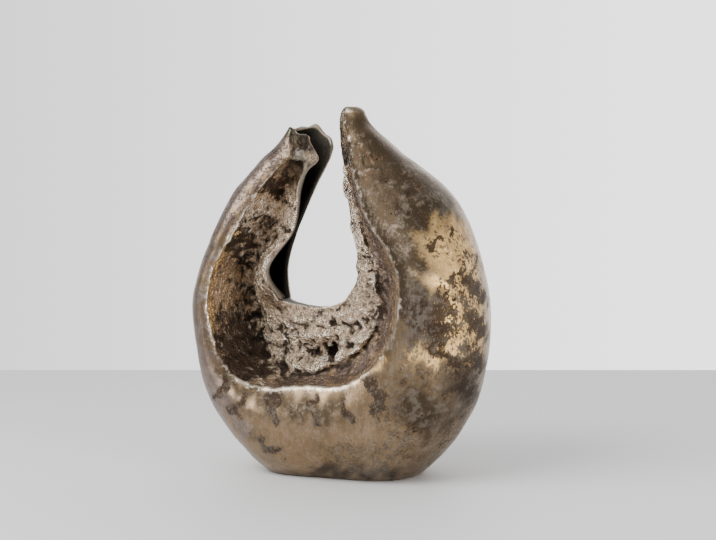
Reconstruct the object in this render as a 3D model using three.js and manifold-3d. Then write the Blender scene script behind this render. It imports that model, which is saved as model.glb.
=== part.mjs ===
// An abstract cast-bronze form: a flattened egg that opens at the top into two horns.
// It is lofted through ribs that follow the body from the cut-off left horn, down round the
// flat seat and up to the closed right horn. Each rib lies between the eye, which is the
// opening in the middle, and the outline. It has four runs: the front wall from the lip to
// the outline, the back wall from the outline to the eye, the narrow rim at the eye, and the
// dish, the recess that is sunk between the eye and the lip. The left arm is an open shell
// of one wall thickness, and its cut end shows the hollow inside.
// Millimetres, +Z up, front towards -Y. The origin is the middle of the bounding box, at the seat.

import * as THREE from 'three';
import { mergeVertices } from 'three/addons/utils/BufferGeometryUtils.js';
import Module from 'manifold-3d';

const HEIGHT = 320;
const WIDTH = 268;
const DEPTH = 150;
const WALL = 4.5;

// A rib has outline and eye as [x, z], and how far the front and the back wall belly out in y.
// The rest are points of its section as [share of the way from the eye to the outline, y]: the
// lip, the dish's deepest reach and the front edge of the rim; rim is y of the rim's back edge.
// x, y and z are percentages of WIDTH, DEPTH and HEIGHT.
const RIBS = [
  { outline: [-18.7, 94.0], eye: [-5.7, 88.7], belly: [-8, 15],
    lip: [0.82, -7], dish: [0.64, -11], front: [0.46, -5], rim: 11 },
  { outline: [-23.2, 89.4], eye: [-7.0, 85.6], belly: [-12, 17],
    lip: [0.54, -11], dish: [0.34, -15], front: [0.05, -5], rim: 12 },
  { outline: [-28.8, 84.8], eye: [-9.0, 82.5], belly: [-16, 20],
    lip: [0.54, -14], dish: [0.36, -4], front: [0.12, -9], rim: 12 },
  { outline: [-37.8, 76.3], eye: [-12.2, 77.5], belly: [-22, 28],
    lip: [0.53, -19], dish: [0.36, 4], front: [0.06, -10], rim: 12 },
  { outline: [-43.6, 66.7], eye: [-18.0, 66.2], belly: [-28, 36],
    lip: [0.57, -25], dish: [0.42, 8], front: [-0.08, -9], rim: 11 },
  { outline: [-49.4, 52.5], eye: [-22.7, 55.8], belly: [-32, 44],
    lip: [0.66, -29], dish: [0.50, 12], front: [0.05, -15], rim: 15 },
  { outline: [-50.0, 38.9], eye: [-21.5, 47.6], belly: [-36, 48],
    lip: [0.67, -30], dish: [0.50, 16], front: [0.00, -10], rim: 13 },
  { outline: [-42.5, 16.6], eye: [-19.8, 46.4], belly: [-44, 50],
    lip: [0.60, -33], dish: [0.48, 14], front: [0.00, -5], rim: 8 },
  { outline: [-22.5, -1.2], eye: [-15.3, 45.6], belly: [-52, 52],
    lip: [0.45, -37], dish: [0.44, 4], front: [0.00, -3], rim: 6 },
  { outline: [0.0, -3.2], eye: [-8.2, 45.0], belly: [-56, 54],
    lip: [0.40, -40], dish: [0.40, 0], front: [0.00, -3], rim: 5 },
  { outline: [23.2, -1.4], eye: [-2.6, 45.8], belly: [-57, 55],
    lip: [0.41, -42], dish: [0.38, -3], front: [0.00, -3], rim: 5 },
  { outline: [41.6, 15.3], eye: [1.5, 48.0], belly: [-56, 56],
    lip: [0.455, -44], dish: [0.35, -6], front: [0.00, -2], rim: 5 },
  { outline: [48.2, 37.2], eye: [4.5, 52.6], belly: [-54, 55],
    lip: [0.507, -45], dish: [0.30, -7], front: [0.00, -1], rim: 5 },
  { outline: [46.0, 56.7], eye: [5.0, 58.7], belly: [-50, 50],
    lip: [0.505, -41], dish: [0.28, -7], front: [0.00, -1], rim: 5 },
  { outline: [36.7, 75.6], eye: [2.8, 67.8], belly: [-40, 40],
    lip: [0.34, -31], dish: [0.18, -6], front: [0.00, -1], rim: 4 },
  { outline: [19.0, 87.9], eye: [1.0, 79.2], belly: [-24, 24],
    lip: [0.35, -20], dish: [0.16, -5], front: [0.00, -1], rim: 4 },
  { outline: [10.1, 94.4], eye: [-0.9, 90.9], belly: [-14, 12],
    lip: [0.42, -12], dish: [0.22, -5], front: [0.00, -1], rim: 3 },
  { outline: [7.4, 98.0], eye: [-0.9, 97.2], belly: [-8, 7],
    lip: [0.25, -5], dish: [0.15, -4], front: [0.00, -1], rim: 2 },
];

// How the walls bow between the points of a rib, as shares of the way and of the belly.
const FRONT_BOW = { start: 0.45, first: 1.12, last: 0.62 };
const BACK_BOW = { first: 0.95, share: 0.42, last: 1.35 };

// The crust is the rough skin round the eye, proud of the smooth band under the lip.
// Its border, as [x, z] in percent, closes through the eye.
const CRUST_BORDER = [
  [-30.5, 47.0], [-29.4, 39.6], [-23.8, 37.4], [-19.6, 34.5], [-20.5, 29.0], [-17.0, 26.5],
  [-8.6, 27.0], [0.5, 30.9], [7.3, 34.0], [11.5, 39.1], [14.2, 43.6], [12.8, 50.5],
  [11.7, 58.1], [8.6, 62.6], [6.6, 68.8], [4.0, 76.0], [2.0, 84.0], [-5.0, 84.0], [-10.0, 50.0],
];
// It fades out between two x on its left, where it runs out into the smooth bowl.
const CRUST_LEFT = { from: -32, to: -22 };
const CRUST_RISE = 3.5;
const CRUST_STEP = 5;
const CRUST_LUMP = 2;
const LUMP_LENGTHS = [13, 19, 29];
const LUMP_TURN = 2.1;
const LUMP_STRETCH = 0.8;

// Folds stand out of the front and creases, with a negative height, are sunk into it.
// Each follows its points, [x, z] in percent; width is from its middle to where it has faded.
const FOLDS = [
  { name: 'brow over the deep pit', width: 9, height: 4,
    line: [[-12, 37.4], [-7, 37.4], [-2.5, 38.6]] },
  { name: 'deep pit', width: 9, height: -5,
    line: [[-11.4, 33.2], [-6.9, 32.6], [-2.9, 33.2]] },
  { name: 'hook of the pit', width: 6, height: -3,
    line: [[-2.9, 33.2], [-1.4, 36.2], [-3, 40.2]] },
  { name: 'ledge at the foot of the crust', width: 9, height: 3,
    line: [[-17, 28], [-7.4, 29.4], [0, 31]] },
  { name: 'lobe beside the bowl', width: 13, height: 3,
    line: [[-26, 35.5], [-23, 32]] },
  { name: 'rolled edge of the left window', width: 12, height: 3,
    line: [[-20.2, 63], [-24.3, 59], [-28.4, 54], [-31, 47]] },
  { name: 'groove of the left arm', width: 10, height: -3,
    line: [[-31.5, 68], [-33.6, 64.2], [-35.2, 60.8], [-37, 55]] },
  { name: 'pocket under the left horn', width: 9, height: -5,
    line: [[-22.5, 77.3], [-19.7, 80.2], [-17.4, 81.8]] },
  { name: 'cheek of the left horn', width: 10, height: 2.5,
    line: [[-12.5, 88], [-11.5, 85]] },
  { name: 'edge of the right flank', width: 12, height: 2,
    line: [[10, 93], [19, 86.5], [30, 79], [39, 69], [44, 60], [46, 48], [45, 36]] },
  { name: 'edge of the left flank', width: 10, height: 1.5,
    line: [[-25, 85], [-33, 76.5], [-40, 64]] },
  { name: 'hollow of the right shoulder', width: 22, height: -2,
    line: [[13, 84], [20, 74]] },
];

// The carving has its full depth where a run is this wide, and fades out over a few points
// at the ends of a run.
const FULL_CARVING = 40;
const DISH_FADE = { start: 1, end: 3 };
const WALL_FADE = { start: 2, end: 3 };

// The closed tip of the right horn.
const TIP_ROWS = 4;
const TIP_RISE = 7.9;

// The cut end of the left horn: its back edge rises in a ragged arch over the first ribs.
const END_ARCH = 8;
const END_RAGGED = 1.5;
const END_NOTCHES = 4;
const ARCH_REACH = 1.2;
const ARCH_DEPTH = 18;

// The hollow runs from the cut end to a place along the ribs, where its walls thicken.
const HOLLOW_END = 6.1;
const HOLLOW_TAPER = 1.2;
const HOLLOW_ROWS = 26;
const HOLLOW_STEPS = 12;
const SLIT_REACH = 5;
const END_REACH = 10;
const WALL_PLAY = 0.3;

const ROW_PITCH = 7;
const FRONT_STEPS = 9;
const BACK_STEPS = 11;
const RIM_STEPS = 2;
const DISH_STEPS = 16;

const percent = (share, size) => (share / 100) * size;
const lerp = THREE.MathUtils.lerp;
const smooth = THREE.MathUtils.smoothstep;
const flat = ([x, z]) => new THREE.Vector2(percent(x, WIDTH), percent(z, HEIGHT));

// Runs a smooth curve through three values of every rib.
function rail(pick) {
  const points = RIBS.map((rib) => new THREE.Vector3(...pick(rib)));
  return new THREE.CatmullRomCurve3(points, false, 'catmullrom');
}

const inFrontView = ([x, z]) => [percent(x, WIDTH), 0, percent(z, HEIGHT)];
const inSection = ([share, y]) => [share, percent(y, DEPTH), 0];
const outlineRail = rail((rib) => inFrontView(rib.outline));
const eyeRail = rail((rib) => inFrontView(rib.eye));
const lipRail = rail((rib) => inSection(rib.lip));
const dishRail = rail((rib) => inSection(rib.dish));
const frontRail = rail((rib) => inSection(rib.front));
const depthRail = rail(({ belly, rim }) => [...belly, rim].map((y) => percent(y, DEPTH)));
const shareOf = (place) => THREE.MathUtils.clamp(place / (RIBS.length - 1), 0, 1);

// The eye's point and the straight way from it to the outline, at a place along the ribs.
function chordAt(place) {
  const eye = eyeRail.getPoint(shareOf(place));
  const way = outlineRail.getPoint(shareOf(place)).sub(eye);
  return { eye, way, length: way.length() };
}

function distanceToLine(point, line) {
  const p = new THREE.Vector3(point.x, point.y, 0);
  const near = new THREE.Vector3();
  const corners = line.map(({ x, y }) => new THREE.Vector3(x, y, 0));
  const distances = corners.slice(1).map((end, i) => {
    return new THREE.Line3(corners[i], end).closestPointToPoint(p, true, near).distanceTo(p);
  });
  return Math.min(...distances);
}

function isInside(point, border) {
  let inside = false;
  border.forEach((a, i) => {
    const b = border[(i + 1) % border.length];
    const crosses = a.y > point.y !== b.y > point.y;
    if (crosses && point.x < a.x + ((b.x - a.x) * (point.y - a.y)) / (b.y - a.y)) inside = !inside;
  });
  return inside;
}

const crustBorder = CRUST_BORDER.map(flat);
const crustLine = [...crustBorder, crustBorder[0]];
const folds = FOLDS.map(({ line, width, height }) => ({ line: line.map(flat), width, height }));

// Lumps of a hand-pressed surface, between -1 and 1.
function lumps(point) {
  const waves = LUMP_LENGTHS.map((length, i) => {
    const turn = i * LUMP_TURN;
    const along = point.x * Math.cos(turn) + point.y * Math.sin(turn);
    const across = point.y * Math.cos(turn) - point.x * Math.sin(turn);
    const wave = Math.sin((along / length) * Math.PI + turn);
    return wave * Math.cos((across / length) * Math.PI * LUMP_STRETCH);
  });
  return waves.reduce((sum, wave) => sum + wave, 0) / Math.sqrt(LUMP_LENGTHS.length);
}

// How far the carving stands out of the front at a point [x, z].
function relief(point) {
  const reach = distanceToLine(point, crustLine) * (isInside(point, crustBorder) ? 1 : -1);
  const fade = smooth(point.x, percent(CRUST_LEFT.from, WIDTH), percent(CRUST_LEFT.to, WIDTH));
  const crust = fade * smooth(reach, -CRUST_STEP / 2, CRUST_STEP / 2);
  const carved = folds.reduce((sum, { line, width, height }) => {
    return sum + height * (1 - smooth(distanceToLine(point, line), 0, width));
  }, 0);
  return carved + crust * (CRUST_RISE + CRUST_LUMP * lumps(point));
}

// Moves a 2-D run of points to the left of its direction, by a distance for each point.
function shift(run, distance) {
  return run.map((p, i) => {
    const ahead = run[Math.min(i + 1, run.length - 1)];
    const along = ahead.clone().sub(run[Math.max(i - 1, 0)]).normalize();
    return new THREE.Vector2(p.x - along.y * distance(p, i), p.y + along.x * distance(p, i));
  });
}

// The front-view spot [x, z] of a section's point.
function spotOf(place, point) {
  const { eye, way, length } = chordAt(place);
  const spot = eye.clone().addScaledVector(way, point.x / length);
  return new THREE.Vector2(spot.x, spot.z);
}

// How far the carving stands out at each point of a run.
function carving(run, place, fade) {
  const depth = smooth(run[0].distanceTo(run[run.length - 1]), 0, FULL_CARVING);
  return run.map((p, i) => {
    const share = smooth(i, 0, fade.start) * smooth(run.length - 1 - i, 0, fade.end);
    return depth * share * relief(spotOf(place, p));
  });
}

function bezier(points, steps) {
  return new THREE.CubicBezierCurve(...points).getPoints(steps);
}

// The runs of the section at a place along the ribs, in mm: x along the chord, and y.
function section(place) {
  const { length } = chordAt(place);
  const along = shareOf(place);
  const at = (share, y) => new THREE.Vector2(share * length, y);
  const point = (line) => at(line.getPoint(along).x, line.getPoint(along).y);
  const { x: frontBelly, y: backBelly, z: rimY } = depthRail.getPoint(along);
  const lip = point(lipRail);
  const deep = point(dishRail);
  const outer = at(1, 0);
  const back = at(0, rimY);

  const bowStart = at(lerp(lip.x / length, 1, FRONT_BOW.start), frontBelly * FRONT_BOW.first);
  const plainWall = bezier([lip, bowStart, at(1, frontBelly * FRONT_BOW.last), outer], FRONT_STEPS);
  const wallCarving = carving(plainWall, place, WALL_FADE);
  const frontWall = shift(plainWall, (p, i) => -wallCarving[i]);

  const backStart = at(1, backBelly * BACK_BOW.first);
  const backEnd = at(BACK_BOW.share, backBelly * BACK_BOW.last);
  const backWall = bezier([outer, backStart, backEnd, back], BACK_STEPS);

  const plainDish = bezier([point(frontRail), deep, deep, lip], DISH_STEPS);
  const dishCarving = carving(plainDish, place, DISH_FADE);
  const dish = plainDish.map((p, i) => new THREE.Vector2(p.x, p.y - dishCarving[i]));
  const rim = new THREE.LineCurve(back, dish[0]).getPoints(RIM_STEPS);
  return { frontWall, backWall, rim, dish, plainDish };
}

// Stands a point of a section up in its place. At the cut end the back wall rises in an arch.
function stand(place, point) {
  const { eye, way, length } = chordAt(place);
  const share = point.x / length;
  const turn = THREE.MathUtils.clamp(share, 0, 1) * Math.PI;
  const arch = END_ARCH * Math.sin(turn) + END_RAGGED * Math.sin(turn * 2 * END_NOTCHES);
  const nearEnd = Math.max(0, 1 - place / ARCH_REACH) ** 2;
  const lift = nearEnd * arch * smooth(point.y, 0, ARCH_DEPTH);
  const upwards = new THREE.Vector3(way.z, 0, -way.x).normalize();
  return eye.clone().addScaledVector(way, share).setY(point.y).addScaledVector(upwards, lift);
}

// Places along the ribs that are about one pitch apart on the lip.
function evenPlaces(pitch) {
  const places = [];
  for (let k = 0; k < RIBS.length - 1; k += 1) {
    const from = stand(k, section(k).frontWall[0]);
    const to = stand(k + 1, section(k + 1).frontWall[0]);
    const rows = Math.max(2, Math.round(from.distanceTo(to) / pitch));
    for (let i = 0; i < rows; i += 1) places.push(k + i / rows);
  }
  places.push(RIBS.length - 1);
  return places;
}

function middleOf(row) {
  return row.reduce((sum, p) => sum.add(p), new THREE.Vector3()).divideScalar(row.length);
}

// The rows of the whole body, ending in the rounded tip of the right horn.
function bodyRows() {
  const rows = evenPlaces(ROW_PITCH).map((place) => {
    const { frontWall, backWall, rim, dish } = section(place);
    const run = [frontWall, backWall, rim, dish].flatMap((part) => part.slice(0, -1));
    return run.map((p) => stand(place, p));
  });
  const last = rows[rows.length - 1];
  const middle = middleOf(last);
  for (let i = 1; i < TIP_ROWS; i += 1) {
    const angle = (i / TIP_ROWS) * (Math.PI / 2);
    const rise = new THREE.Vector3(0, 0, TIP_RISE * Math.sin(angle));
    rows.push(last.map((p) => middle.clone().lerp(p, Math.cos(angle)).add(rise)));
  }
  return rows;
}

// Even steps along a 2-D run.
function resample(run, steps) {
  const path = new THREE.CurvePath();
  for (let i = 0; i + 1 < run.length; i += 1) path.add(new THREE.LineCurve(run[i], run[i + 1]));
  return path.getSpacedPoints(steps);
}

// The hollow of the left arm at one place: a wall inside its shell and its dish, and open at
// the rim. It keeps clear of the creases, and its walls thicken where it ends.
function hollowSection(place) {
  const { frontWall, backWall, plainDish } = section(place);
  const shell = [...frontWall, ...backWall.slice(1)];
  const sheet = [...plainDish, frontWall[1]];
  const wall = WALL * (1 + smooth(place, HOLLOW_END - HOLLOW_TAPER, HOLLOW_END));
  const clearOf = (p, line) => distanceToLine(p, line) > wall - WALL_PLAY;
  const isClear = (p) => clearOf(p, shell) && clearOf(p, sheet);
  const crease = (p) => Math.max(0, -relief(spotOf(place, p)));
  const underSheet = shift(sheet, (p) => wall + crease(p)).filter(isClear);
  const underShell = shift(shell, () => wall).filter(isClear);
  const mouth = Math.min(underSheet[0].x, underShell[underShell.length - 1].x, 0) - SLIT_REACH;
  const tip = underSheet.pop().lerp(underShell.shift(), 0.5);
  const sheetMouth = underSheet[0].clone().setX(mouth);
  const shellMouth = underShell[underShell.length - 1].clone().setX(mouth);
  const front = resample([sheetMouth, ...underSheet, tip], HOLLOW_STEPS);
  const back = resample([tip, ...underShell, shellMouth], HOLLOW_STEPS);
  return [...front, ...back.slice(1)].map((p) => stand(place, p));
}

function hollowRows() {
  const rows = [];
  for (let i = 0; i <= HOLLOW_ROWS; i += 1) {
    rows.push(hollowSection((i / HOLLOW_ROWS) * HOLLOW_END));
  }
  const outwards = middleOf(rows[0]).sub(middleOf(rows[1])).normalize();
  rows.unshift(rows[0].map((p) => p.clone().addScaledVector(outwards, END_REACH)));
  return rows;
}

// Closes a row with a ladder of triangles, from its first and last points inwards.
function ladder(count) {
  const triangles = [];
  let low = 0;
  let high = count - 1;
  while (high - low > 1) {
    triangles.push([low, low + 1, high]);
    low += 1;
    if (high - low > 1) triangles.push([low, high - 1, high]);
    high -= 1;
  }
  return triangles;
}

// Skins rows of points, all of one length, and closes both ends.
function skin(rows) {
  const count = rows[0].length;
  const positions = rows.flat().flatMap((p) => [p.x, p.y, p.z]);
  const index = [];
  for (let r = 0; r < rows.length - 1; r += 1) {
    for (let i = 0; i < count; i += 1) {
      const j = (i + 1) % count;
      const here = r * count;
      const next = here + count;
      index.push(here + i, here + j, next + i, here + j, next + j, next + i);
    }
  }
  const last = (rows.length - 1) * count;
  for (const [a, b, c] of ladder(count)) index.push(c, b, a, last + a, last + b, last + c);
  return { positions, index };
}

// The ground below the seat.
function ground() {
  const box = new THREE.BoxGeometry(2 * WIDTH, 2 * DEPTH, HEIGHT).translate(0, 0, -HEIGHT / 2);
  box.deleteAttribute('normal');
  box.deleteAttribute('uv');
  const merged = mergeVertices(box);
  return { positions: merged.attributes.position.array, index: merged.index.array };
}

const wasm = await Module();
wasm.setup();

function solid({ positions, index }) {
  return new wasm.Manifold(new wasm.Mesh({
    numProp: 3,
    vertProperties: new Float32Array(positions),
    triVerts: new Uint32Array(index),
  }));
}

// The geometry of a solid, moved so that the middle of its box stands over the origin.
function centredGeometry(body) {
  const mesh = body.getMesh();
  const geometry = new THREE.BufferGeometry();
  geometry.setAttribute('position', new THREE.BufferAttribute(mesh.vertProperties, 3));
  geometry.setIndex(new THREE.BufferAttribute(mesh.triVerts, 1));
  geometry.computeBoundingBox();
  const centre = geometry.boundingBox.getCenter(new THREE.Vector3());
  return geometry.translate(-centre.x, -centre.y, 0);
}

const wholeBody = solid(skin(bodyRows()));
const casting = wholeBody.subtract(solid(ground())).subtract(solid(skin(hollowRows())));
const bronze = new THREE.MeshStandardMaterial({ color: 0x8a7150, roughness: 0.45, metalness: 0.9 });
const sculpture = new THREE.Mesh(centredGeometry(casting), bronze);
sculpture.name = 'sculpture';

const group = new THREE.Group();
group.add(sculpture);
export default group;
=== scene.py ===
# %% [markdown]
# A cast bronze form. The real one is a single hollow casting: a flattened egg that opens at
# the top into two horns, with a rough crust round the opening in its middle. This file makes
# its finished surface around the plain packed solid, which is loaded first and never changed.

# %% Load the frame
import math

import bmesh
import bpy
import numpy as np
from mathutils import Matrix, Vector


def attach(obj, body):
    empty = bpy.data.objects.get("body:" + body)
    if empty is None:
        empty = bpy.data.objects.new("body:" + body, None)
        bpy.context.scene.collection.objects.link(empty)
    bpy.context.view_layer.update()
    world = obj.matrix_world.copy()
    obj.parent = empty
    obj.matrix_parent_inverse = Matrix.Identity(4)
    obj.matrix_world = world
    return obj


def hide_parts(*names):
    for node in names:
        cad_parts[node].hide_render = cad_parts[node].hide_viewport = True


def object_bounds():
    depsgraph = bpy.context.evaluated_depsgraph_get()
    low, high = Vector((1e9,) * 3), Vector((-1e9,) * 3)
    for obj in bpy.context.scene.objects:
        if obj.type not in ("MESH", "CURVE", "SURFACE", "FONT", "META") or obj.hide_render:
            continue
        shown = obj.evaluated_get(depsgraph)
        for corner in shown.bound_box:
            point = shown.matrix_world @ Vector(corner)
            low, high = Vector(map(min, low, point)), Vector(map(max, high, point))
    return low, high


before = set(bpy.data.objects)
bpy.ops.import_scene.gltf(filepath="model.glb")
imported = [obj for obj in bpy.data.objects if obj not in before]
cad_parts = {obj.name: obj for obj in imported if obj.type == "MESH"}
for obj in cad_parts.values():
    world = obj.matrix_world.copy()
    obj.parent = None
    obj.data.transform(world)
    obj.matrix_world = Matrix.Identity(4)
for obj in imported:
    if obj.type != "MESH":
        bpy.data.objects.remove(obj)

cad_low, cad_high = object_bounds()
print("solid's box in mm:", [round(v * 1000, 1) for v in (*cad_low, *cad_high)])

# %% [markdown]
# The camera comes first, because the photograph fixes it: it stands a little to the right of
# the front and looks slightly down. It is placed by its distance, its azimuth and its
# elevation round the middle of the seat, and turned a touch further to frame the form. MIDDLE
# is where the middle of the form lies in the drawing, so everything is moved back by it.

# %% Camera
CAMERA_DISTANCE = 1.6
CAMERA_AZIMUTH = math.radians(20)
CAMERA_ELEVATION = math.radians(11)
CAMERA_TURN = math.radians(0.462)
CAMERA_PITCH = math.radians(4.659)
CAMERA_LENS = 90.4
MIDDLE = Vector((-0.002905, -0.000402, 0))


def new_object(name, data):
    """A new object in the scene."""
    made = bpy.data.objects.new(name, data)
    bpy.context.scene.collection.objects.link(made)
    return made


reach = CAMERA_DISTANCE * math.cos(CAMERA_ELEVATION)
height = CAMERA_DISTANCE * math.sin(CAMERA_ELEVATION)
eye_point = Vector((math.sin(CAMERA_AZIMUTH) * reach, -math.cos(CAMERA_AZIMUTH) * reach, height))
heading = CAMERA_AZIMUTH - CAMERA_TURN
ahead = Vector((-math.sin(heading), math.cos(heading), -math.tan(CAMERA_PITCH)))
camera_data = bpy.data.cameras.new("camera")
camera_data.lens = CAMERA_LENS
camera = new_object("camera", camera_data)
camera.location = eye_point - MIDDLE
camera.rotation_euler = ahead.to_track_quat("-Z", "Y").to_euler()
bpy.context.scene.camera = camera
print("camera at", [round(v, 3) for v in camera.location])

# %% [markdown]
# The form is a loft. Eighteen ribs follow the body from the cut-off left horn, down round the
# seat and up to the right horn. Each rib lies between the eye, the opening in the middle, and
# the outline. Both are [x, z]. The belly is how far the front and the back bow out, and the rim
# is how far back the eye's rim lies. The other points are [share of the way from the eye to the
# outline, y]. All lengths are percentages of the whole width, depth and height.

# %% Ribs
HEIGHT = 0.320
WIDTH = 0.268
DEPTH = 0.150
WALL = 0.0045
RIB_PARTS = ("outline", "eye", "belly", "lip", "dish", "front", "rim")
RIBS = [dict(zip(RIB_PARTS, rib)) for rib in (
    ((-18.7, 94.0), (-5.7, 88.7), (-8, 15), (0.82, -7), (0.64, -11), (0.46, -5), 11),
    ((-23.2, 89.4), (-7.0, 85.6), (-12, 17), (0.54, -11), (0.34, -15), (0.05, -5), 12),
    ((-28.8, 84.8), (-9.0, 82.5), (-16, 20), (0.54, -14), (0.36, -4), (0.12, -9), 12),
    ((-37.8, 76.3), (-12.2, 77.5), (-22, 28), (0.53, -19), (0.36, 4), (0.06, -10), 12),
    ((-43.6, 66.7), (-18.0, 66.2), (-28, 36), (0.57, -25), (0.42, 8), (-0.08, -9), 11),
    ((-49.4, 52.5), (-22.7, 55.8), (-32, 44), (0.66, -29), (0.50, 12), (0.05, -15), 15),
    ((-50.0, 38.9), (-21.5, 47.6), (-36, 48), (0.67, -30), (0.50, 16), (0.00, -10), 13),
    ((-42.5, 16.6), (-19.8, 46.4), (-44, 50), (0.60, -33), (0.48, 14), (0.00, -5), 8),
    ((-22.5, -1.2), (-15.3, 45.6), (-52, 52), (0.45, -37), (0.44, 4), (0.00, -3), 6),
    ((0.0, -3.2), (-8.2, 45.0), (-56, 54), (0.40, -40), (0.40, 0), (0.00, -3), 5),
    ((23.2, -1.4), (-2.6, 45.8), (-57, 55), (0.41, -42), (0.38, -3), (0.00, -3), 5),
    ((41.6, 15.3), (1.5, 48.0), (-56, 56), (0.455, -44), (0.35, -6), (0.00, -2), 5),
    ((48.2, 37.2), (4.5, 52.6), (-54, 55), (0.507, -45), (0.30, -7), (0.00, -1), 5),
    ((46.0, 56.7), (5.0, 58.7), (-50, 50), (0.505, -41), (0.28, -7), (0.00, -1), 5),
    ((36.7, 75.6), (2.8, 67.8), (-40, 40), (0.34, -31), (0.18, -6), (0.00, -1), 4),
    ((19.0, 87.9), (1.0, 79.2), (-24, 24), (0.35, -20), (0.16, -5), (0.00, -1), 4),
    ((10.1, 94.4), (-0.9, 90.9), (-14, 12), (0.42, -12), (0.22, -5), (0.00, -1), 3),
    ((7.4, 98.0), (-0.9, 97.2), (-8, 7), (0.25, -5), (0.15, -4), (0.00, -1), 2),
)]
LAST = len(RIBS) - 1
print("ribs:", len(RIBS))

# %% [markdown]
# Between the ribs, every point runs along a smooth curve. A place along the ribs is a number: 0
# is the first rib and 3.5 lies halfway between the fourth and the fifth. The ribs hold
# percentages, which become metres when they are read.

# %% Reading the ribs
def smooth(value, low, high):
    """An even step from 0 at low to 1 at high."""
    t = np.clip((value - low) / (high - low), 0, 1)
    return t * t * (3 - 2 * t)


def rail(points, places):
    """A smooth curve through one point of every rib, read at places along the ribs."""
    points = np.array(points, float)
    ends = np.vstack([2 * points[0] - points[1], points, 2 * points[-1] - points[-2]])
    places = np.clip(places, 0, LAST)
    k = np.minimum(places.astype(int), LAST - 1)
    w = (places - k)[:, None]
    a, b, c, d = (ends[k + i] for i in range(4))
    cubic = (3 * b + d - a - 3 * c) * w ** 3 + (2 * a - 5 * b + 4 * c - d) * w ** 2
    return 0.5 * (2 * b + (c - a) * w + cubic)


def in_front_view(name, places):
    """A point of the ribs as [x, z] in metres."""
    return rail([rib[name] for rib in RIBS], places) / 100 * (WIDTH, HEIGHT)


def in_section(name, places):
    """A point of the ribs as [share of the way from the eye to the outline, y in metres]."""
    return rail([rib[name] for rib in RIBS], places) * (1, DEPTH / 100)


halfway = in_front_view("outline", np.array([LAST / 2]))[0]
print("outline halfway along the ribs in mm:", (halfway * 1000).round(1).tolist())

# %% [markdown]
# The front is carved. The crust is a thick rough skin with a border of its own. It fades out
# over the left arm, between the percentages in CRUST_LEFT, CRUST_TOP and CRUST_CORNER. Folds
# stand out of it and creases are sunk into it: each is a short drawn line, and then its
# width and its height in metres.

# %% Crust, folds and creases
CRUST_BORDER = [
    (-30.5, 47.0), (-29.4, 39.6), (-23.8, 37.4), (-19.6, 34.5), (-20.5, 29.0), (-17.0, 26.5),
    (-8.6, 27.0), (0.5, 30.9), (7.3, 34.0), (11.5, 39.1), (14.2, 43.6), (12.8, 50.5),
    (11.7, 58.1), (8.6, 62.6), (6.6, 68.8), (4.0, 76.0), (2.0, 84.0), (-5.0, 84.0), (-10.0, 50.0),
]
CRUST_LEFT = (-32, -22)
CRUST_TOP = (38, 50)
CRUST_CORNER = (-22, -14)
CRUST_RISE = 0.0035
CRUST_STEP = 0.004
CRUST_LUMP = 0.002
LUMP_LENGTHS = (0.013, 0.019, 0.029)
LUMP_TURN = 2.1
LUMP_STRETCH = 0.8
FOLDS = {
    "brow over the deep pit": ((-12, 37.4), (-7, 37.4), (-2.5, 38.6), 0.009, 0.004),
    "deep pit": ((-11.4, 33.2), (-6.9, 32.6), (-2.9, 33.2), 0.009, -0.005),
    "hook of the pit": ((-2.9, 33.2), (-1.4, 36.2), (-3, 40.2), 0.006, -0.003),
    "ledge at the foot of the crust": ((-17, 28), (-7.4, 29.4), (0, 31), 0.009, 0.003),
    "lobe beside the bowl": ((-26, 35.5), (-23, 32), 0.013, 0.003),
    "rolled edge of the left window": (
        (-20.2, 63), (-24.3, 59), (-28.4, 54), (-31, 47), 0.012, 0.003),
    "groove of the left arm": (
        (-31.5, 68), (-33.6, 64.2), (-35.2, 60.8), (-37, 55), 0.010, -0.003),
    "pocket under the left horn": ((-22.5, 77.3), (-19.7, 80.2), (-17.4, 81.8), 0.009, -0.005),
    "cheek of the left horn": ((-12.5, 88), (-11.5, 85), 0.010, 0.0025),
    "edge of the right flank": (
        (10, 93), (19, 86.5), (30, 79), (39, 69), (44, 60), (46, 48), (45, 36), 0.012, 0.002),
    "edge of the left flank": ((-25, 85), (-33, 76.5), (-40, 64), 0.010, 0.0015),
    "hollow of the right shoulder": ((13, 84), (20, 74), 0.022, -0.002),
}
FULL_CARVING = 0.040
print("folds and creases:", len(FOLDS))

# %% [markdown]
# One function says how far the surface stands out at a spot of the front view. It asks how near
# the spot lies to each line, and whether it lies inside the crust's border. The crust is lumpy,
# like clay pressed on by hand: crossed waves of three lengths make its lumps.

# %% Carving
def drawn(points):
    """Percentages of the width and the height as front-view spots in metres."""
    return np.array(points, float) / 100 * (WIDTH, HEIGHT)


def distance_to_line(spots, line):
    """The distance of every spot to a line of points."""
    nearest = np.full(spots.shape[:-1], np.inf)
    for start, end in zip(line[:-1], line[1:]):
        way = end - start
        t = np.clip(((spots - start) @ way) / max(way @ way, 1e-12), 0, 1)
        nearest = np.minimum(nearest, np.linalg.norm(spots - start - t[..., None] * way, axis=-1))
    return nearest


def is_inside(spots, border):
    inside = np.zeros(spots.shape[:-1], bool)
    for a, b in zip(border, np.roll(border, -1, axis=0)):
        if a[1] == b[1]:
            continue
        crosses = (a[1] > spots[..., 1]) != (b[1] > spots[..., 1])
        crossing = a[0] + (b[0] - a[0]) * (spots[..., 1] - a[1]) / (b[1] - a[1])
        inside ^= crosses & (spots[..., 0] < crossing)
    return inside


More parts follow.
